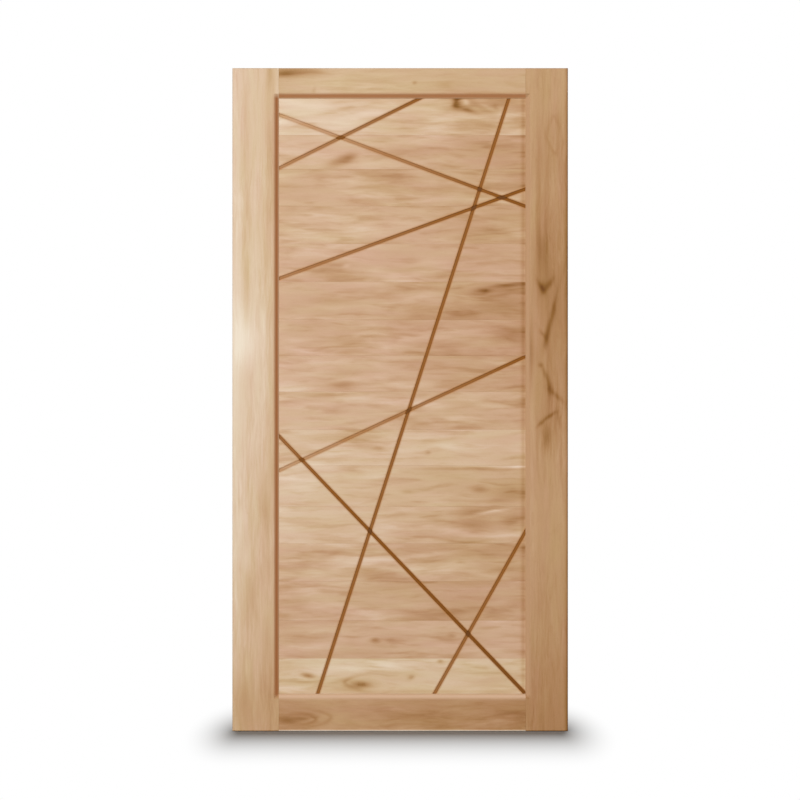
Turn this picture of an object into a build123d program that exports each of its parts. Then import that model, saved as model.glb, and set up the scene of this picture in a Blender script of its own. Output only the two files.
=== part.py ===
from build123d import *
import os
from math import hypot

# A solid timber door leaf, unhung and unfitted: two full-height stiles, a top and a bottom rail
# tenoned between them, and a sunk panel of horizontal tongued boards carved with straight lines.
# The frame has a bevel with mitred corners around the panel, on both faces.
# Axes: X runs from the left edge to the right edge as seen from the front, Z runs up,
# and the front faces -Y. The origin is at the foot of the left edge, at mid thickness.

# Driving dimensions, in millimetres.
# Whole leaf
door_width = 1063
door_height = 2100
leaf_thickness = 45
arris_radius = 4

# Frame members, each measured to the edge that meets the panel
left_stile_width = 147
right_stile_width = 134
top_rail_height = 95
bottom_rail_height = 117
shoulder_ease = 0.5

# Bevel around the panel
bevel_width = 14
bevel_depth = 10.5

# Panel
panel_thickness = 22
board_ease = 0.5

# Cover heights of the boards from the top down, as the planks gave them.
# They are shared out to fill the panel.
board_covers = (116, 108, 117, 120, 120, 120, 114, 114, 120, 114, 130, 117, 120, 124, 120, 112)

# Blind mortise and tenon joints between rails and stiles
tenon_thickness = 15
tenon_length = 70
tenon_setback = 20
glue_gap = 2

# Tongues on the boards, and the ploughed grooves that take them
tongue_thickness = 8
tongue_length = 10
tongue_tip_gap = 0.8
fit_clearance = 0.15

# Carved lines: a flat-bottomed cut with leaning walls and softened lips
carve_width = 9
carve_floor_width = 7
carve_depth = 3
carve_lip = 0.4

# Places that follow from the sizes above
field_left = left_stile_width
field_right = door_width - right_stile_width
field_bottom = bottom_rail_height
field_top = door_height - top_rail_height
field_width = field_right - field_left
field_height = field_top - field_bottom
field_middle = (field_left + field_right) / 2
half_leaf = leaf_thickness / 2
half_panel = panel_thickness / 2
board_heights = [field_height * cover / sum(board_covers) for cover in board_covers]
board_tops = [field_top - sum(board_heights[:row]) for row in range(len(board_heights))]
mortise_depth = tenon_length + glue_gap
mortise_thickness = tenon_thickness + 2 * fit_clearance
plough_depth = tongue_length + tongue_tip_gap
plough_width = tongue_thickness + 2 * fit_clearance


# Ends of the carved lines, on the edges of the panel
def on_left(down=None, up=None):
    return field_left, field_top - down if down is not None else field_bottom + up


def on_right(down=None, up=None):
    return field_right, field_top - down if down is not None else field_bottom + up


def on_top(across):
    return field_left + across, field_top


def on_bottom(across):
    return field_left + across, field_bottom


carved_lines = [
    (on_left(down=221), on_top(across=446)),
    (on_left(down=51), on_right(down=342)),
    (on_left(down=571), on_right(down=287)),
    (on_top(across=729), on_bottom(across=123)),
    (on_left(up=708), on_right(up=1070)),
    (on_left(up=818), on_right(up=0)),
    (on_right(up=515), on_bottom(across=493)),
]

os.makedirs("parts", exist_ok=True)


def save(part, name):
    part.label = name
    export_step(part, f"parts/{name}.step")


# Outer shape of the leaf, with its arrises rounded on both faces
with BuildPart() as leaf_shape:
    Box(door_width, leaf_thickness, door_height, align=(Align.MIN, Align.CENTER, Align.MIN))
    faces_by_depth = leaf_shape.faces().sort_by(Axis.Y)
    fillet(faces_by_depth[0].edges() + faces_by_depth[-1].edges(), arris_radius)

# Shape removed by the bevel: a shallow pyramid frustum sunk into each face of the frame
with BuildPart() as bevel_cut:
    with Locations((field_left - bevel_width, -half_leaf, field_bottom - bevel_width)):
        Wedge(
            xsize=field_width + 2 * bevel_width,
            ysize=bevel_depth,
            zsize=field_height + 2 * bevel_width,
            xmin=bevel_width,
            zmin=bevel_width,
            xmax=field_width + bevel_width,
            zmax=field_height + bevel_width,
            align=(Align.MIN, Align.MIN, Align.MIN),
        )
    mirror(about=Plane.XZ)


# Shape removed by one carved line on the front, run out past both ends
def carve_line(start, end):
    run = Vector(end[0] - start[0], 0, end[1] - start[1])
    along = run.normalized()
    across = Vector(0, -1, 0).cross(along)
    first = Vector(start[0], -half_panel, start[1]) - along * carve_width
    section = Plane(origin=first, x_dir=across, z_dir=along)
    with BuildPart() as line_cut:
        with BuildSketch(section):
            with BuildLine():
                Polyline(
                    (-carve_width / 2 - carve_lip, 0),
                    (-carve_width / 2, -carve_lip),
                    (-carve_floor_width / 2, -carve_depth),
                    (carve_floor_width / 2, -carve_depth),
                    (carve_width / 2, -carve_lip),
                    (carve_width / 2 + carve_lip, 0),
                    close=True,
                )
            make_face()
        extrude(amount=hypot(run.X, run.Z) + 2 * carve_width)
    return line_cut.part


line_cuts = [carve_line(line_start, line_end) for line_start, line_end in carved_lines]

# All the carved lines, the same on both faces
with BuildPart() as carving:
    add(line_cuts)
    mirror(about=Plane.XZ)


# A stile runs the full height. It is mortised for both rails and ploughed for the boards' ends.
def make_stile(outer_edge, inner_edge):
    width = abs(inner_edge - outer_edge)
    into_timber = 1 if outer_edge > inner_edge else -1
    mortise_middle = inner_edge + into_timber * mortise_depth / 2
    plough_middle = inner_edge + into_timber * plough_depth / 2
    with BuildPart() as stile:
        with Locations(((outer_edge + inner_edge) / 2, 0, door_height / 2)):
            Box(width, leaf_thickness, door_height)
        for rail_bottom, rail_height in (
            (0, bottom_rail_height),
            (field_top, top_rail_height),
        ):
            mortise_height = rail_height - 2 * tenon_setback + 2 * fit_clearance
            with Locations((mortise_middle, 0, rail_bottom + rail_height / 2)):
                Box(mortise_depth, mortise_thickness, mortise_height, mode=Mode.SUBTRACT)
        with Locations((plough_middle, 0, field_bottom + field_height / 2)):
            Box(plough_depth, plough_width, field_height, mode=Mode.SUBTRACT)
        add(bevel_cut.part, mode=Mode.SUBTRACT)
        add(leaf_shape.part, mode=Mode.INTERSECT)
    return stile.part


# A rail fits between the stiles on two blind tenons and is ploughed for the outermost board.
def make_rail(bottom, height, panel_edge):
    into_timber = 1 if panel_edge == bottom else -1
    middle = bottom + height / 2
    plough_middle = panel_edge + into_timber * plough_depth / 2
    with BuildPart() as rail:
        with Locations((field_middle, 0, middle)):
            Box(field_width, leaf_thickness, height)
        chamfer(rail.edges().filter_by(Axis.Z), shoulder_ease)
        with Locations((field_middle, 0, middle)):
            Box(field_width + 2 * tenon_length, tenon_thickness, height - 2 * tenon_setback)
        with Locations((field_middle, 0, plough_middle)):
            Box(field_width, plough_width, plough_depth, mode=Mode.SUBTRACT)
        add(bevel_cut.part, mode=Mode.SUBTRACT)
        add(leaf_shape.part, mode=Mode.INTERSECT)
    return rail.part


# A board lies flat across the panel. Its ends are tongued into the stiles and its top edge into
# the board or rail above. Its lower edge is grooved over the board below, and the lowest board
# has a tongue there instead, for the bottom rail.
def make_board(top, height, is_lowest):
    bottom = top - height
    middle = (top + bottom) / 2
    with BuildPart() as board:
        with Locations((field_middle, 0, middle)):
            Box(field_width, panel_thickness, height)
        chamfer(board.edges().filter_by(Axis.X), board_ease)
        with Locations((field_middle, 0, middle)):
            Box(field_width + 2 * tongue_length, tongue_thickness, height)
        with Locations((field_middle, 0, top + tongue_length / 2)):
            Box(field_width, tongue_thickness, tongue_length)
        if is_lowest:
            with Locations((field_middle, 0, bottom - tongue_length / 2)):
                Box(field_width, tongue_thickness, tongue_length)
        else:
            with Locations((field_middle, 0, bottom + plough_depth / 2)):
                Box(field_width, plough_width, plough_depth, mode=Mode.SUBTRACT)
        add(carving.part, mode=Mode.SUBTRACT)
    return board.part


save(make_stile(0, field_left), "left_stile")
save(make_stile(door_width, field_right), "right_stile")
save(make_rail(field_top, top_rail_height, field_top), "top_rail")
save(make_rail(0, bottom_rail_height, field_bottom), "bottom_rail")
for number, (top, height) in enumerate(zip(board_tops, board_heights), start=1):
    save(make_board(top, height, number == len(board_tops)), f"panel_board_{number:02d}")
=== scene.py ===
import math
from collections import namedtuple
from functools import partial

import bpy
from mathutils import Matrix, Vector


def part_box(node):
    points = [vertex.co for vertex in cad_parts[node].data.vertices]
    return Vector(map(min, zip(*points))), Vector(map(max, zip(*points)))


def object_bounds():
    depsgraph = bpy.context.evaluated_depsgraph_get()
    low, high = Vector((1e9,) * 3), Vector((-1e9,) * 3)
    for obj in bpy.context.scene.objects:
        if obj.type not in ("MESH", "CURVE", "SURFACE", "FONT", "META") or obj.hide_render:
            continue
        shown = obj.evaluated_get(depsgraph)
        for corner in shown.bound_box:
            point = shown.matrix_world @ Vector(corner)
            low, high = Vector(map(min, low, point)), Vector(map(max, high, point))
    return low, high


# A solid timber door leaf seen from the front: stiles and rails around a sunk panel of horizontal
# boards with carved lines. Every solid of the frame stays, and gets its own timber.

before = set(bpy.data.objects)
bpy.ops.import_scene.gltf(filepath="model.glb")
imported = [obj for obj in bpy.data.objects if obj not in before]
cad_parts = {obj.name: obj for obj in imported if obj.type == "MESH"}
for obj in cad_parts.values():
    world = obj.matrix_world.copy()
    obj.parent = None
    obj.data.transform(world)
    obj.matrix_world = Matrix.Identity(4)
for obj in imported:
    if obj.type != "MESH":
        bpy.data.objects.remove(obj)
cad_low, cad_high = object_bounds()

# Sizes in metres, and in millimetres for the patterns
MM_PER_M = 1000
door_width = cad_high.x
door_height = cad_high.z
front_face = cad_low.y
panel_face_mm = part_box("panel_board_01")[1].y * MM_PER_M
panel_left_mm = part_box("left_stile")[1].x * MM_PER_M
panel_right_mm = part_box("right_stile")[0].x * MM_PER_M
panel_top_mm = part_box("top_rail")[0].z * MM_PER_M
panel_foot_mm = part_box("bottom_rail")[1].z * MM_PER_M
right_edge_mm = door_width * MM_PER_M

# The image, in pixels, and the door's place in it
IMAGE_SIZE = 800
DOOR_HEIGHT_PX = 663.2
DOOR_CENTRE_PX = (400.15, 399.6)


# Linear light of an sRGB hex colour
def linear(code):
    channels = [int(code[i : i + 2], 16) / 255 for i in (0, 2, 4)]
    bent = [c / 12.92 if c <= 0.04045 else ((c + 0.055) / 1.055) ** 2.4 for c in channels]
    return (*bent, 1)


# Adds a node with its settings, and its inputs as values or links, and gives the output asked for
def add_node(tree, kind, inputs, out=0, **settings):
    node = tree.nodes.new("ShaderNode" + kind)
    for key, value in settings.items():
        setattr(node, key, value)
    for key, value in inputs.items():
        if isinstance(value, bpy.types.NodeSocket):
            tree.links.new(value, node.inputs[key])
        else:
            node.inputs[key].default_value = value
    return node.outputs[out] if node.outputs else node


# Spreads colours evenly over a ramp
def fill_ramp(ramp, colours):
    stops = ramp.elements
    for extra in range(len(colours) - len(stops)):
        stops.new(0.5)
    for index, (stop, colour) in enumerate(zip(stops, colours)):
        stop.position = index / (len(colours) - 1)
        stop.color = colour


# Tones of the timber from sapwood to the heart of a knot, one step of depth apart.
# Straw leans to yellow and rose to pink, and every piece has some of both.
STRAW = ("ECDEC8", "E0CCB0", "D1B690", "C09D71", "AC8355", "8D632C", "65380C")
ROSE = ("ECDAC8", "E0C3AE", "D1AB90", "C09574", "AC7D57", "8D5C2E", "65330E")
DEEPEST = len(STRAW) - 1

# Carved lines: their two ends on the panel's edges in millimetres, and how dark each end is painted. The
# lines are painted a darker brown, partly their own colour and partly painted shade of the cuts. It is
# full in the cut, thinner on the face beside it, and fades out there. Where it goes past full, at
# crossings, the brown turns darker.
Line = namedtuple("Line", "x1 z1 x2 z2 scorch1 scorch2")
carved_lines = [
    Line(panel_left_mm, panel_top_mm - 221, panel_left_mm + 446, panel_top_mm, 0.68, 0.98),
    Line(panel_left_mm, panel_top_mm - 51, panel_right_mm, panel_top_mm - 342, 0.4, 1.12),
    Line(panel_left_mm, panel_top_mm - 571, panel_right_mm, panel_top_mm - 287, 0.72, 1.08),
    Line(panel_left_mm + 729, panel_top_mm, panel_left_mm + 123, panel_foot_mm, 0.96, 0.94),
    Line(panel_left_mm, panel_foot_mm + 708, panel_right_mm, panel_foot_mm + 1070, 0.5, 1.03),
    Line(panel_left_mm, panel_foot_mm + 818, panel_right_mm, panel_foot_mm, 0.9, 1.36),
    Line(panel_right_mm, panel_foot_mm + 515, panel_left_mm + 493, panel_foot_mm, 0.97, 0.87),
]

# Tints of the lines' brown and painted shade from light to deep, and the depths at which the first and
# the last are reached. A power below one lets a light darkening cover more of the wood than its depth
# says.
LINE_BROWN_AND_SHADE_TINTS = ("B98046", "885110", "6A3E12")
LINE_BROWN_AND_SHADE_DEPTHS = (0.25, 1.85)
LINE_BROWN_AND_SHADE_POWER = 0.65

# From the middle of a line: where the brown and painted shade start to fade, and where they end. Then
# their share on the face, and how far below the face they are whole.
LINE_BROWN_AND_SHADE_CORE_MM = 3.5
LINE_BROWN_AND_SHADE_REACH_MM = 10
LINE_BROWN_AND_SHADE_ON_FACE = 0.7
LINE_BROWN_AND_SHADE_LIP_MM = 0.4

# The bevel on each piece of the frame: its tint, strongest along its middle, and the edge that it runs
# along. The tints are painted light and shade: painted shade on the bevels at the top and on the left,
# which face away from the light, painted light on the one at the foot, which faces up to it, and a tone
# on the right one set for how the light falls there.
Bevel = namedtuple("Bevel", "tint edge")
bevel_light_and_shade = {
    "left_stile": Bevel("A86C40", panel_left_mm),
    "top_rail": Bevel("B27A50", panel_top_mm),
    "right_stile": Bevel("BF9773", panel_right_mm),
    "bottom_rail": Bevel("D3B092", panel_foot_mm),
}
BEVEL_MM = 14
BEVEL_SHADING_SPREAD_MM = 8

# Depths of tone that a piece starts from
TONE = {
    "pale": 1.3,
    "straw": 1.6,
    "honey": 1.9,
    "fawn": 2.2,
    "tan": 2.5,
    "biscuit": 2.8,
    "brown": 3.1,
    "dark": 3.5,
    "toffee": 3.9,
}

# A mark in the wood: its place on the face, its reach along the grain and its breadth across it, all in
# millimetres, the depth of tone that it adds, its lean from the grain in degrees anticlockwise, and its
# kind. A patch is a soft blot, an edge is a straight one, a knot pushes the grain aside, and an arch is
# a curved line that opens along its reach, or backwards if that is less than nought.
Mark = namedtuple("Mark", "x z reach breadth depth lean kind", defaults=(0, "patch"))

# Reach of an edge that runs through a whole piece, half breadth of an arch's line, how fast its legs
# fade, and how fast a knot's push on the grain falls off
THROUGHOUT_MM = 6000
ARCH_LINE_MM = 7
ARCH_FADE = 0.5
KNOT_FALL = 0.35

# The figure of a piece: the length and width of its broad streaks in millimetres, and how strongly they,
# the fine streaks, fibres, clouds, flecks and rings show, in steps of tone
Figure = namedtuple("Figure", "streak broad fine fibre cloud fleck ring")

# A piece of timber: the way of its grain, its tones from left to right or from foot to head, how pink it
# is from 0 to 1, its figure, the pith's place across the piece and behind its face in millimetres, and
# its marks
Piece = namedtuple("Piece", "grain tones blush figure pith marks")

pieces = {
    "left_stile": Piece(
        grain="Z",
        tones=("biscuit", "honey", "straw", "pale", "pale", "straw", "straw"),
        blush=0.34,
        figure=Figure((260, 22), broad=1.1, fine=0.9, fibre=0.5, cloud=0.7, fleck=0.2, ring=0.12),
        pith=(-160, 40),
        marks=[
            # Pale outer edge with its palest patch
            Mark(10, 1050, 1400, 26, -0.5),
            Mark(40, 1236, 80, 40, -1.2),
            # Long streaks beside the bevel and along the middle
            Mark(116, 2085, 60, 9, 0.7),
            Mark(38, 1760, 380, 11, 0.5),
            Mark(112, 1800, 380, 12, 0.4),
            Mark(128, 1500, 700, 14, 0.6),
            Mark(105, 1428, 130, 24, 0.4),
            Mark(46, 1425, 130, 10, 0.6),
            # Patches towards the foot, all browner but one
            Mark(120, 890, 160, 24, 0.6),
            Mark(102, 690, 75, 22, 0.9),
            Mark(112, 560, 120, 16, 0.5),
            Mark(48, 540, 50, 14, -0.4),
            Mark(62, 430, 110, 26, 0.6),
            Mark(110, 300, 90, 16, 0.5),
            Mark(118, 130, 150, 28, 0.4),
            Mark(30, 90, 90, 26, 0.5),
        ],
    ),
    "right_stile": Piece(
        grain="Z",
        tones=("toffee", "dark", "brown", "dark", "toffee", "dark", "brown"),
        blush=0.45,
        figure=Figure((260, 18), broad=0.7, fine=0.6, fibre=0.4, cloud=0.6, fleck=0.2, ring=0.12),
        pith=(10, 95),
        marks=[
            # Painted shade on the outer edge, which turns away from the light, and a lighter inner edge
            Mark(right_edge_mm, 1050, THROUGHOUT_MM, 8, 1.4, 0, "edge"),
            Mark(947, 1300, 800, 16, -0.5, 0, "edge"),
            # Arches and long streaks in the upper half
            Mark(1020, 1945, -60, 22, 0.35, 0, "arch"),
            Mark(1026, 1832, 60, 18, 0.4, 12, "arch"),
            Mark(970, 1640, 170, 7, 0.5),
            Mark(996, 1580, 200, 8, 0.45),
            Mark(978, 1525, 70, 15, 0.6),
            Mark(1010, 1480, 150, 34, 0.2),
            # Upper chevron, the streak that hangs from it, and a dark one beside the bevel
            Mark(975, 1411, 22, 7, 0.9, 27),
            Mark(1000, 1414, 28, 8, 0.9, -35),
            Mark(982, 1406, 20, 10, 0.9),
            Mark(1011, 1318, 95, 9, 0.9, -13),
            Mark(983, 1261, 17, 6, 0.7, 29),
            Mark(995, 1245, 36, 8, 0.9, -8),
            Mark(946, 1188, 95, 9, 1.5),
            # Middle chevron in slightly darker wood
            Mark(977, 1159, 9, 6, 0.7, -60),
            Mark(990, 1134, 27, 7, 0.9, 20),
            Mark(1020, 1110, 120, 30, 0.15),
            Mark(1003, 1086, 25, 9, 1.2, 10),
            Mark(1025, 1061, 27, 7, 0.8, 47),
            # Lower chevron in slightly darker wood
            Mark(1008, 1001, 20, 7, 1.1, -65),
            Mark(1036, 982, 30, 7, 0.5, 16),
            Mark(979, 977, 21, 6, 1.0, -38),
            Mark(1000, 960, 70, 30, 0.2),
            Mark(996, 928, 36, 11, 0.8),
        ],
    ),
    "top_rail": Piece(
        grain="X",
        tones=("tan", "honey", "fawn", "tan", "tan"),
        blush=0.25,
        figure=Figure((150, 22), broad=1.3, fine=0.45, fibre=0.3, cloud=0.5, fleck=0.4, ring=0.12),
        pith=(60, 60),
        marks=[
            # Brown corner at the left, a faint spot and a small knot
            Mark(195, 2088, 88, 17, 1.75),
            Mark(165, 2083, 30, 10, 0.9),
            Mark(258, 2030, 6, 10, 0.5),
            Mark(578, 2052, 7, 6, 1.0, 0, "knot"),
        ],
    ),
    "bottom_rail": Piece(
        grain="X",
        tones=("dark", "brown", "dark", "dark", "toffee"),
        blush=0.5,
        figure=Figure((90, 22), broad=1.3, fine=0.35, fibre=0.25, cloud=0.5, fleck=0.4, ring=0.1),
        pith=(-50, 70),
        marks=[
            # Painted light on the lower arris, which faces down to the bright floor
            Mark(530, 1.5, THROUGHOUT_MM, 2.6, -4, 0, "edge"),
            # Swirl at the left
            Mark(175, 34, 42, 14, 1.2),
            Mark(222, 40, 24, 6, 0.9),
            Mark(262, 37, -40, 16, 0.8, 0, "arch"),
            Mark(310, 40, -70, 28, 0.6, 0, "arch"),
            # Broad brown patches
            Mark(620, 50, 90, 25, 0.5),
            Mark(850, 60, 110, 22, 0.5),
        ],
    ),
}

# Panel boards from the top down: their tones from left to right, and how pink they are
boards = (
    (("pale", "tan"), 0.4),
    (("honey", "biscuit"), 0.6),
    (("fawn", "biscuit"), 0.5),
    (("fawn", "biscuit"), 0.55),
    (("fawn", "tan"), 0.75),
    (("fawn", "brown"), 0.65),
    (("fawn", "brown"), 0.75),
    (("honey", "biscuit"), 0.7),
    (("honey", "tan"), 0.6),
    (("straw", "honey"), 0.45),
    (("straw", "tan"), 0.35),
    (("straw", "tan"), 0.5),
    (("honey", "biscuit"), 0.55),
    (("fawn", "biscuit"), 0.65),
    (("tan", "fawn"), 0.7),
    (("straw", "straw"), 0.15),
)
board_figure = Figure((170, 30), broad=2.2, fine=0.4, fibre=0.25, cloud=1, fleck=0.8, ring=0.06)
board_marks = {
    1: [
        # Hook-shaped knot with a pale eye
        Mark(703, 1987, 60, 26, 0.7, 0, "arch"),
        Mark(710, 1991, 13, 18, 1.8),
        Mark(736, 2003, 30, 7, 1.2),
        Mark(744, 1970, 28, 8, 1.6, -18),
        Mark(741, 1990, 12, 9, -1.5),
        # Second, fainter eye beside it
        Mark(804, 1980, 19, 7, -0.9, -15),
        Mark(806, 1964, 30, 7, 1.0, -5),
        Mark(836, 1977, 8, 10, 0.5),
        # Darker wood around both, and a spot near the right end
        Mark(770, 1984, 95, 24, 0.7),
        Mark(905, 1978, 18, 9, 0.5),
    ],
    2: [
        # Leaning brown blot
        Mark(342, 1805, 46, 15, 1.5, 24),
        Mark(369, 1815, 22, 14, 0.9, 24),
        Mark(850, 1855, 120, 14, 0.5),
    ],
    4: [Mark(538, 1604, 170, 45, -0.5)],
    5: [
        Mark(320, 1453, 65, 20, 0.8),
        Mark(357, 1473, 12, 6, -0.7),
    ],
    6: [
        # Dark knot with a streak to the right end, and brown patches below and at the left
        Mark(791, 1394, 28, 8, 1.7, 0, "knot"),
        Mark(875, 1411, 55, 6, 1.6, 3),
        Mark(840, 1400, 90, 12, 0.7),
        Mark(850, 1350, 110, 20, 0.7),
        Mark(306, 1365, 70, 14, 0.6),
    ],
    7: [
        Mark(538, 1247, 160, 45, -0.4),
        Mark(885, 1255, 60, 28, 0.7),
    ],
    8: [Mark(344, 1097, 40, 9, 0.8)],
    9: [Mark(320, 1020, 50, 18, 0.5)],
    10: [
        Mark(461, 897, 22, 8, 1.1, 0, "knot"),
        Mark(623, 881, 9, 6, 0.9, 0, "knot"),
    ],
    11: [
        # Light streak over a dark one along the upper edge
        Mark(800, 837, 130, 4, -1.0),
        Mark(905, 838, 30, 5, -1.2),
        Mark(720, 828, 140, 4, 0.6),
        # Knot and brown patches below
        Mark(784, 764, 24, 10, 1.3, 0, "knot"),
        Mark(556, 760, 20, 7, 0.8),
        Mark(880, 752, 70, 28, 0.9),
    ],
    12: [
        # Brown patches with light streaks between them
        Mark(758, 695, 50, 12, 0.9),
        Mark(634, 672, 45, 14, 0.8),
        Mark(760, 655, 60, 18, 1.0),
        Mark(890, 668, 50, 24, 1.3),
        Mark(822, 694, 60, 5, -1.3, 12),
        Mark(850, 620, 80, 6, -0.8),
        Mark(725, 600, 70, 8, 0.9),
    ],
    15: [
        Mark(452, 283, 15, 8, 1.7, 0, "knot"),
        Mark(500, 283, 20, 5, 0.6),
        Mark(695, 300, 14, 7, 0.9, 0, "knot"),
        Mark(850, 345, 60, 5, -0.7),
    ],
    16: [
        # Knots, the large one in the mouth of an arch
        Mark(240, 175, 22, 9, 2.5, -10, "knot"),
        Mark(352, 152, 60, 26, 0.8, 0, "arch"),
        Mark(345, 160, 34, 9, 0.8),
        Mark(404, 146, 62, 18, 1.1, 0, "knot"),
        Mark(408, 143, 26, 8, 1.6),
        Mark(566, 168, 11, 7, 1.2, 0, "knot"),
        Mark(658, 221, 10, 7, 1.4, 0, "knot"),
        # Darker right end, and painted shade along the foot beside the bottom bevel
        Mark(850, 172, 100, 45, 0.5),
        Mark(538, panel_foot_mm + 6, THROUGHOUT_MM, 6, 0.5, 0, "edge"),
    ],
}

# Each board gets painted shade just before its right end, beside the right stile's bevel: the middle of
# that band from the end, its reach, and the depth of tone that it adds
SHADED_END_INSET_MM = 7
SHADED_END_REACH_MM = 8
SHADED_END_DEPTH = 0.8

# The pith lies above and below the boards' middles in turn, and behind their face, at places that come
# round again after a few boards, so that the rings differ from board to board
PITH_ASIDE_MM = 20
PITH_ASIDE_STEP_MM = 9
PITH_ASIDE_PLACES = 5
PITH_BEHIND_MM = 60
PITH_BEHIND_STEP_MM = 12
PITH_BEHIND_PLACES = 4

for row, (tones, blush) in enumerate(boards, start=1):
    name = f"panel_board_{row:02d}"
    board_low, board_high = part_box(name)
    board_middle = (board_low.z + board_high.z) / 2 * MM_PER_M
    # Painted shade along the board's right end, beside the right stile's bevel
    shaded_end = Mark(
        panel_right_mm - SHADED_END_INSET_MM,
        board_middle,
        SHADED_END_REACH_MM,
        THROUGHOUT_MM,
        SHADED_END_DEPTH,
        kind="edge",
    )
    side = 1 if row % 2 else -1
    aside = PITH_ASIDE_MM + PITH_ASIDE_STEP_MM * (row % PITH_ASIDE_PLACES)
    behind = PITH_BEHIND_MM + PITH_BEHIND_STEP_MM * (row % PITH_BEHIND_PLACES)
    pieces[name] = Piece(
        grain="X",
        tones=tones,
        blush=blush,
        figure=board_figure,
        pith=(side * aside, behind),
        marks=[shaded_end] + board_marks.get(row, []),
    )

# Size of the other patterns: length and width in millimetres, and detail. Busy sets where the figure is
# calm or lively. Fibres and pores are drawn several times wider than real ones, and rings about twice,
# because at 3 mm a pixel the real ones would not show.
BROAD_DETAIL = 2
FINE = (80, 6, 2)
FIBRE = (40, 1.6, 1)
CLOUD = (420, 80, 2)
FLECK = (120, 18, 2)
HUE = (200, 36, 3)
BUSY = (330, 110, 1)
PORE = (12, 0.9, 1)
WANDER = (190, 60, 3)
RING_MM = 8

# How far the patterns are moved from one piece to the next, so that no two pieces are alike
SEED_STEPS = (17.3, 7.9, 3.1)

# How far the grain and the marks' outlines wander, in millimetres along the grain, across and through
GRAIN_SWING = (80, 24, 12)
MARK_SWING = (30, 18, 0)

# A noise runs from 0 to 1 about its middle. These are the levels of it between which flecks and pores
# come in, the figure turns from calm to lively, and the surface from smooth to rough.
NOISE_MIDDLE = 0.5
FLECK_LEVELS = (0.48, 0.8)
PORE_LEVELS = (0.6, 0.72)
BUSY_LEVELS = (0.35, 0.65)
SMOOTH_LEVELS = (0.3, 0.7)

# Strength of the figure where it is calm and lively, depth of tone of pores and end grain, how far the
# tones along a piece waver, as a share of its length, and how far the blush does
LIVELINESS = (0.35, 1.65)
PORE_DEPTH = 0.25
END_GRAIN_DEPTH = 0.9
DRIFT_WAVER = 0.3
BLUSH_WAVER = 1.4

# By how many of their widths the rings waver, and the power that keeps their dark late wood narrow
RING_WAVER = 5
LATE_WOOD_POWER = 2.5

# The sanded surface: its roughness, its low gloss, the height of its relief in metres and how strongly
# that shows, and the shares that fibres and pores have in it beside the fine streaks
ROUGHNESS = (0.56, 0.68)
SPECULAR = 0.12
RELIEF = 0.0004
RELIEF_STRENGTH = 0.15
FIBRE_RISE = 0.6
PORE_RISE = -0.6


# The depth of tone that a piece's marks add, and its grain once the knots have pushed it aside
def add_marks(add, piece, straight, wandered, flow):
    along_x = piece.grain == "X"
    marked = 0
    for mark in piece.marks:
        spot = (mark.x, mark.z, 0) if along_x else (mark.z, mark.x, 0)
        lean = math.radians(mark.lean if along_x else -mark.lean)
        reach_axis = (math.cos(lean) / mark.reach, math.sin(lean) / mark.reach, 0)
        breadth_axis = (-math.sin(lean) / mark.breadth, math.cos(lean) / mark.breadth, 0)
        ground = straight if mark.kind == "edge" else wandered
        offset = add("VectorMath", {0: ground, 1: spot}, operation="SUBTRACT")
        reach = add("VectorMath", {0: offset, 1: reach_axis}, "Value", operation="DOT_PRODUCT")
        breadth = add("VectorMath", {0: offset, 1: breadth_axis}, "Value", operation="DOT_PRODUCT")
        reach_square = add("Math", {0: reach, 1: reach}, operation="MULTIPLY")
        breadth_square = add("Math", {0: breadth, 1: breadth}, operation="MULTIPLY")
        square = add("Math", {0: reach_square, 1: breadth_square}, operation="ADD")
        if mark.kind == "arch":
            # The curve is where reach equals breadth squared. Its slope turns the difference into a
            # distance, and the slope of a square is twice its side.
            off_curve = add("Math", {0: reach, 1: breadth_square}, operation="SUBTRACT")
            off_square = add("Math", {0: off_curve, 1: off_curve}, operation="MULTIPLY")
            leg_slope = (2 * ARCH_LINE_MM / mark.breadth) ** 2
            head_slope = (ARCH_LINE_MM / mark.reach) ** 2
            slopes = {0: breadth_square, 1: leg_slope, 2: head_slope}
            slope = add("Math", slopes, operation="MULTIPLY_ADD")
            line = add("Math", {0: off_square, 1: slope}, operation="DIVIDE")
            shape = add("Math", {0: reach_square, 1: ARCH_FADE, 2: line}, operation="MULTIPLY_ADD")
        else:
            shape = square
        strength = add("Math", {0: math.exp(-1), 1: shape}, operation="POWER")
        marked = add("Math", {0: strength, 1: mark.depth, 2: marked}, operation="MULTIPLY_ADD")
        if mark.kind == "knot":
            near = add("Math", {0: math.exp(-KNOT_FALL), 1: square}, operation="POWER")
            sideways = add("SeparateXYZ", {0: offset}, "Y")
            pushed = add("Math", {0: sideways, 1: near}, operation="MULTIPLY")
            push = add("CombineXYZ", {1: pushed})
            flow = add("VectorMath", {0: flow, 1: push}, operation="SUBTRACT")
    return marked, flow


# How far the bevel's painted light and shade cover a piece of the frame: along its inner edge, up to the
# panel's corners
def bevel_shading_cover(add, name, along, across, opening):
    to_edge = add("Math", {0: across, 1: bevel_light_and_shade[name].edge}, operation="SUBTRACT")
    apart = add("Math", {0: to_edge}, operation="ABSOLUTE")
    off_middle = add("Math", {0: apart, 1: BEVEL_MM / 2}, operation="SUBTRACT")
    off_square = add("Math", {0: off_middle, 1: off_middle}, operation="MULTIPLY")
    tinted = add("Math", {0: math.exp(-1 / BEVEL_SHADING_SPREAD_MM**2), 1: off_square}, operation="POWER")
    off_centre = add("Math", {0: along, 1: sum(opening) / 2}, operation="SUBTRACT")
    out_along = add("Math", {0: off_centre}, operation="ABSOLUTE")
    half_open = (opening[1] - opening[0]) / 2
    corner = {"Value": out_along, "From Min": half_open + BEVEL_MM, "From Max": half_open}
    return add("Math", {0: tinted, 1: add("MapRange", corner)}, operation="MULTIPLY")
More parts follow.
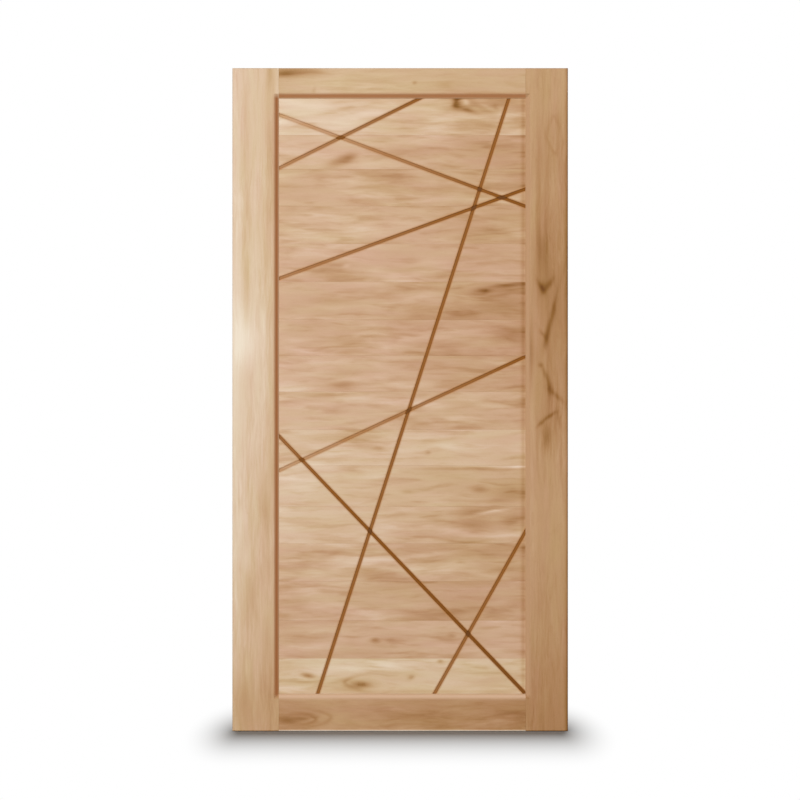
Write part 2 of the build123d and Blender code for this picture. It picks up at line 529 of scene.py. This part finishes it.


# How deep the lines' brown and painted shade go on a board, in and beside the carved lines that cross it
def line_brown_and_shade(add, straight, through, foot, head):
    brown_and_shade = 0
    for line in carved_lines:
        if min(line.z1, line.z2) > head or max(line.z1, line.z2) < foot:
            continue
        run = math.hypot(line.x2 - line.x1, line.z2 - line.z1)
        forward = ((line.x2 - line.x1) / run**2, (line.z2 - line.z1) / run**2, 0)
        sideways = ((line.z1 - line.z2) / run, (line.x2 - line.x1) / run, 0)
        from_end = add("VectorMath", {0: straight, 1: (line.x1, line.z1, 0)}, operation="SUBTRACT")
        beside = add("VectorMath", {0: from_end, 1: sideways}, "Value", operation="DOT_PRODUCT")
        apart = add("Math", {0: beside}, operation="ABSOLUTE")
        band = {"Value": apart, "From Min": LINE_BROWN_AND_SHADE_REACH_MM, "From Max": LINE_BROWN_AND_SHADE_CORE_MM}
        in_band = add("MapRange", band, interpolation_type="SMOOTHSTEP")
        passed = add("VectorMath", {0: from_end, 1: forward}, "Value", operation="DOT_PRODUCT")
        ends = {"Value": passed, "To Min": line.scorch1, "To Max": line.scorch2}
        depth_here = add("MapRange", ends)
        brown_and_shade = add("Math", {0: in_band, 1: depth_here, 2: brown_and_shade}, operation="MULTIPLY_ADD")
    from_mid_plane = add("Math", {0: through}, operation="ABSOLUTE")
    sunk = add(
        "MapRange",
        {
            "Value": from_mid_plane,
            "From Min": panel_face_mm,
            "From Max": panel_face_mm - LINE_BROWN_AND_SHADE_LIP_MM,
            "To Min": LINE_BROWN_AND_SHADE_ON_FACE,
        },
    )
    return add("Math", {0: brown_and_shade, 1: sunk}, operation="MULTIPLY")


# Solid timber, sawn, planed and sanded bare. The eye gets soft streaks along the grain, faint rings,
# fine fibres and pores, a slow drift of tone along the piece, and knots that the grain flows round.
# Carved lines are cut below the face and painted a darker brown, partly painted shade of the cuts, and
# the bevel gets painted light and shade.
def timber(name, piece, seed):
    material = bpy.data.materials.new(f"sanded_timber_{name}")
    material.use_nodes = True
    tree = material.node_tree
    tree.nodes.clear()
    add = partial(add_node, tree)

    # Millimetres along the grain, across it, and through the thickness
    low, high = (corner * MM_PER_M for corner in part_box(name))
    place = add("TexCoord", {}, "Object")
    in_mm = add("VectorMath", {0: place, "Scale": MM_PER_M}, operation="SCALE")
    split = add("SeparateXYZ", {0: in_mm}).node.outputs
    through = split["Y"]
    if piece.grain == "X":
        along, across = split["X"], split["Z"]
        start, end = low.x, high.x
        middle = (low.z + high.z) / 2
        grain_axis = (1, 0, 0)
        opening = (panel_left_mm, panel_right_mm)
    else:
        along, across = split["Z"], split["X"]
        start, end = low.z, high.z
        middle = (low.x + high.x) / 2
        grain_axis = (0, 0, 1)
        opening = (panel_foot_mm, panel_top_mm)
    straight = add("CombineXYZ", {0: along, 1: across, 2: through})

    # Noise drawn out along the grain, from the length and width of one blotch in millimetres
    def streaks(at, length, width, detail, out=0):
        shift = tuple(seed * step for step in SEED_STEPS)
        size = (1 / length, 1 / width, 1 / width)
        scaled = add("VectorMath", {0: at, 1: size, 2: shift}, operation="MULTIPLY_ADD")
        return add("TexNoise", {"Vector": scaled, "Scale": 1, "Detail": detail}, out)

    # The grain wanders a little, and so do the outlines of the marks
    wander = streaks(straight, *WANDER, "Color")
    centred = add("VectorMath", {0: wander, 1: (NOISE_MIDDLE,) * 3}, operation="SUBTRACT")
    wandered = add("VectorMath", {0: centred, 1: MARK_SWING, 2: straight}, operation="MULTIPLY_ADD")
    grain = add("VectorMath", {0: centred, 1: GRAIN_SWING, 2: straight}, operation="MULTIPLY_ADD")
    marked, flow = add_marks(add, piece, straight, wandered, grain)

    figure = piece.figure
    broad = streaks(flow, *figure.streak, BROAD_DETAIL)
    fine = streaks(flow, *FINE)
    fibre = streaks(flow, *FIBRE)
    cloud = streaks(flow, *CLOUD)
    hue = streaks(flow, *HUE)
    fleck = {"Value": streaks(flow, *FLECK), "From Min": FLECK_LEVELS[0], "From Max": FLECK_LEVELS[1]}
    flecks = add("MapRange", fleck, interpolation_type="SMOOTHSTEP")
    pore = {"Value": streaks(flow, *PORE), "From Min": PORE_LEVELS[0], "From Max": PORE_LEVELS[1]}
    pores = add("MapRange", pore)
    liveliness = add(
        "MapRange",
        {
            "Value": streaks(flow, *BUSY),
            "From Min": BUSY_LEVELS[0],
            "From Max": BUSY_LEVELS[1],
            "To Min": LIVELINESS[0],
            "To Max": LIVELINESS[1],
        },
    )

    # Rings round the pith, which lies behind the face
    pith = (0, -middle - piece.pith[0], -piece.pith[1])
    from_pith = add("VectorMath", {0: flow, 1: (0, 1, 1), 2: pith}, operation="MULTIPLY_ADD")
    radius = add("VectorMath", {0: from_pith}, "Value", operation="LENGTH")
    wavering = add("Math", {0: cloud, 1: RING_WAVER}, operation="MULTIPLY")
    ring_count = add("Math", {0: radius, 1: 1 / RING_MM, 2: wavering}, operation="MULTIPLY_ADD")
    ring = add("Math", {0: ring_count}, operation="FRACT")
    late_wood = add("Math", {0: ring, 1: LATE_WOOD_POWER}, operation="POWER")

    # Slow drift of tone from one end of the piece to the other
    travelled = add("MapRange", {"Value": along, "From Min": start, "From Max": end})
    drifting = add("Math", {0: broad, 1: DRIFT_WAVER, 2: travelled}, operation="MULTIPLY_ADD")
    centred_drift = add("Math", {0: drifting, 1: DRIFT_WAVER * NOISE_MIDDLE}, operation="SUBTRACT")
    drift = add("ValToRGB", {0: centred_drift})
    drift.node.color_ramp.interpolation = "EASE"
    levels = [TONE[tone] / DEEPEST for tone in piece.tones]
    fill_ramp(drift.node.color_ramp, [(level, level, level, 1) for level in levels])

    # Depth of tone, all together. The streaks swing about their middle, more where the figure is lively.
    depth = add("Math", {0: drift, 1: DEEPEST, 2: marked}, operation="MULTIPLY_ADD")
    swings = (
        (broad, figure.broad),
        (fine, figure.fine),
        (fibre, figure.fibre),
        (cloud, figure.cloud),
    )
    for noise, amount in swings:
        swung = add("Math", {0: noise, 1: NOISE_MIDDLE}, operation="SUBTRACT")
        uneven = add("Math", {0: swung, 1: liveliness}, operation="MULTIPLY")
        depth = add("Math", {0: uneven, 1: amount, 2: depth}, operation="MULTIPLY_ADD")

    # End grain soaks up more light
    normal = place.node.outputs["Normal"]
    facing = add("VectorMath", {0: normal, 1: grain_axis}, "Value", operation="DOT_PRODUCT")
    end_grain = add("Math", {0: facing, 1: facing}, operation="MULTIPLY")
    additions = (
        (late_wood, figure.ring),
        (flecks, figure.fleck),
        (pores, PORE_DEPTH),
        (end_grain, END_GRAIN_DEPTH),
    )
    for pattern, amount in additions:
        depth = add("Math", {0: pattern, 1: amount, 2: depth}, operation="MULTIPLY_ADD")

    # Colour of that depth, between straw and rose
    share = add("Math", {0: depth, 1: DEEPEST}, operation="DIVIDE")
    ramps = []
    for palette in (STRAW, ROSE):
        ramp = add("ValToRGB", {0: share})
        fill_ramp(ramp.node.color_ramp, [linear(code) for code in palette])
        ramps.append(ramp)
    pinkness = {0: hue, 1: BLUSH_WAVER, 2: piece.blush - BLUSH_WAVER * NOISE_MIDDLE}
    blush = add("Math", pinkness, operation="MULTIPLY_ADD", use_clamp=True)
    wood = add("Mix", {0: blush, 6: ramps[0], 7: ramps[1]}, 2, data_type="RGBA")

    # Painted light and shade on the frame's bevel, and the lines' brown with painted shade on the boards
    if name in bevel_light_and_shade:
        # Painted light and shade on the bevel
        cover = bevel_shading_cover(add, name, along, across, opening)
        tint = linear(bevel_light_and_shade[name].tint)
    else:
        # The lines' darker brown, partly painted shade of the cuts
        brown_and_shade = line_brown_and_shade(add, straight, through, low.z, high.z)
        cover = add("Math", {0: brown_and_shade, 1: LINE_BROWN_AND_SHADE_POWER}, operation="POWER")
        thin, deep = LINE_BROWN_AND_SHADE_DEPTHS
        browned = add("MapRange", {"Value": brown_and_shade, "From Min": thin, "From Max": deep})
        tint = add("ValToRGB", {0: browned})
        fill_ramp(tint.node.color_ramp, [linear(code) for code in LINE_BROWN_AND_SHADE_TINTS])
    colour = add("Mix", {0: cover, 6: wood, 7: tint}, 2, data_type="RGBA")

    # Sanded surface with the grain just raised
    roughness = add(
        "MapRange",
        {
            "Value": fine,
            "From Min": SMOOTH_LEVELS[0],
            "From Max": SMOOTH_LEVELS[1],
            "To Min": ROUGHNESS[0],
            "To Max": ROUGHNESS[1],
        },
    )
    raised = add("Math", {0: fibre, 1: FIBRE_RISE, 2: fine}, operation="MULTIPLY_ADD")
    height = add("Math", {0: pores, 1: PORE_RISE, 2: raised}, operation="MULTIPLY_ADD")
    bump = add("Bump", {"Strength": RELIEF_STRENGTH, "Distance": RELIEF, "Height": height})
    surface = {
        "Base Color": colour,
        "Roughness": roughness,
        "Specular IOR Level": SPECULAR,
        "Normal": bump,
    }
    add("OutputMaterial", {"Surface": add("BsdfPrincipled", surface)})
    return material


for number, (name, piece) in enumerate(pieces.items(), start=1):
    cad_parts[name].material_slots[0].material = timber(name, piece, number)

# Camera: square on, far off, with the door where the photograph has it
camera_data = bpy.data.cameras.new("front_camera")
camera_data.lens = 100
camera_data.sensor_width = 36
camera = bpy.data.objects.new("front_camera", camera_data)
bpy.context.scene.collection.objects.link(camera)
metres_per_px = door_height / DOOR_HEIGHT_PX
distance = camera_data.lens / camera_data.sensor_width * IMAGE_SIZE * metres_per_px
camera.location = (
    door_width / 2 - (DOOR_CENTRE_PX[0] - IMAGE_SIZE / 2) * metres_per_px,
    front_face - distance,
    door_height / 2 + (DOOR_CENTRE_PX[1] - IMAGE_SIZE / 2) * metres_per_px,
)
camera.rotation_euler = (math.pi / 2, 0, 0)
bpy.context.scene.camera = camera


# One for what is looked at straight, in a reflection or through glass, and nought for what lights things
def looked_at(tree):
    rays = add_node(tree, "LightPath", {}).node.outputs
    clear = {0: rays["Is Camera Ray"], 1: rays["Is Transmission Ray"]}
    seen = add_node(tree, "Math", clear, operation="MAXIMUM")
    return add_node(tree, "Math", {0: seen, 1: rays["Is Glossy Ray"]}, operation="MAXIMUM")


# Pale floor, in metres. Its matt grey paint keeps the door's shadow, and the camera sees it only near
# the door's foot, where the grey is a painted shadow, and it runs out to white: no white within one
# distance of the foot, and all white past another, both a few times shorter at the sides.
FLOOR_RADIUS = 14
FLOOR_SIDES = 96
FLOOR_DROP = 0.001
FLOOR_SHADOW_GREY = "9A9997"
FOOT_INSET = 0.03
SHADOW_CORE = 0.07
SHADOW_REACH = 0.74
SIDE_SQUEEZE = 4
bpy.ops.object.select_all(action="DESELECT")
bpy.ops.mesh.primitive_circle_add(
    vertices=FLOOR_SIDES,
    radius=FLOOR_RADIUS,
    fill_type="NGON",
    location=(door_width / 2, 0, -FLOOR_DROP),
)
floor = bpy.context.object
floor.name = "studio_floor"
floor_paint = bpy.data.materials.new("matt_floor_paint")
floor_paint.use_nodes = True
floor_paint.node_tree.nodes.clear()
coat = partial(add_node, floor_paint.node_tree)
# Grey paint, seen near the foot as a painted shadow, which also keeps the door's real shadow
paint = coat("BsdfDiffuse", {"Color": linear(FLOOR_SHADOW_GREY)})
white = coat("Emission", {})
from_middle = coat("VectorMath", {0: coat("TexCoord", {}, "Object")}, operation="ABSOLUTE")
half_foot = (door_width / 2 - FOOT_INSET, 0, 0)
past_foot = coat("VectorMath", {0: from_middle, 1: half_foot}, operation="SUBTRACT")
outside = coat("VectorMath", {0: past_foot, 1: (0, 0, 0)}, operation="MAXIMUM")
squeezed = coat("VectorMath", {0: outside, 1: (SIDE_SQUEEZE, 1, 1)}, operation="MULTIPLY")
away = coat("VectorMath", {0: squeezed}, "Value", operation="LENGTH")
near = coat("MapRange", {"Value": away, "From Min": SHADOW_REACH, "From Max": SHADOW_CORE})
near_square = coat("Math", {0: near, 1: near}, operation="MULTIPLY")
fade = coat("Math", {0: 1, 1: near_square}, operation="SUBTRACT")
whiteness = coat("Math", {0: fade, 1: looked_at(floor_paint.node_tree)}, operation="MULTIPLY")
coat("OutputMaterial", {"Surface": coat("MixShader", {0: whiteness, 1: paint, 2: white})})
floor.data.materials.append(floor_paint)

# White world for what is looked at, dim for what lights the door
WORLD_LIGHT = 0.3
world = bpy.data.worlds.new("studio")
bpy.context.scene.world = world
world.use_nodes = True
world.node_tree.nodes.clear()
sky = partial(add_node, world.node_tree)
level = sky("MapRange", {"Value": looked_at(world.node_tree), "To Min": WORLD_LIGHT})
background = sky("Background", {"Color": (1, 1, 1, 1), "Strength": level})
sky("OutputWorld", {"Surface": background})

# Soft boxes: one in front, up and to the left, and one behind for the back.
# Turn and rise in degrees, distance and size in metres, and power in watts
Softbox = namedtuple("Softbox", "turn rise distance size power")
softboxes = {
    "front_softbox": Softbox(turn=-12, rise=11, distance=16, size=9, power=2175),
    "back_softbox": Softbox(turn=172, rise=10, distance=8, size=3, power=460),
}
door_middle = (cad_low + cad_high) / 2
for label, softbox in softboxes.items():
    lamp_data = bpy.data.lights.new(label, "AREA")
    lamp_data.shape = "SQUARE"
    lamp_data.size = softbox.size
    lamp_data.energy = softbox.power
    lamp = bpy.data.objects.new(label, lamp_data)
    bpy.context.scene.collection.objects.link(lamp)
    turn = math.radians(softbox.turn)
    rise = math.radians(softbox.rise)
    lamp.location = (
        door_middle.x + softbox.distance * math.cos(rise) * math.sin(turn),
        door_middle.y - softbox.distance * math.cos(rise) * math.cos(turn),
        door_middle.z + softbox.distance * math.sin(rise),
    )
    lamp.rotation_euler = (door_middle - lamp.location).to_track_quat("-Z", "Y").to_euler()
    lamp.visible_camera = False

bpy.context.scene.view_settings.view_transform = "Standard"
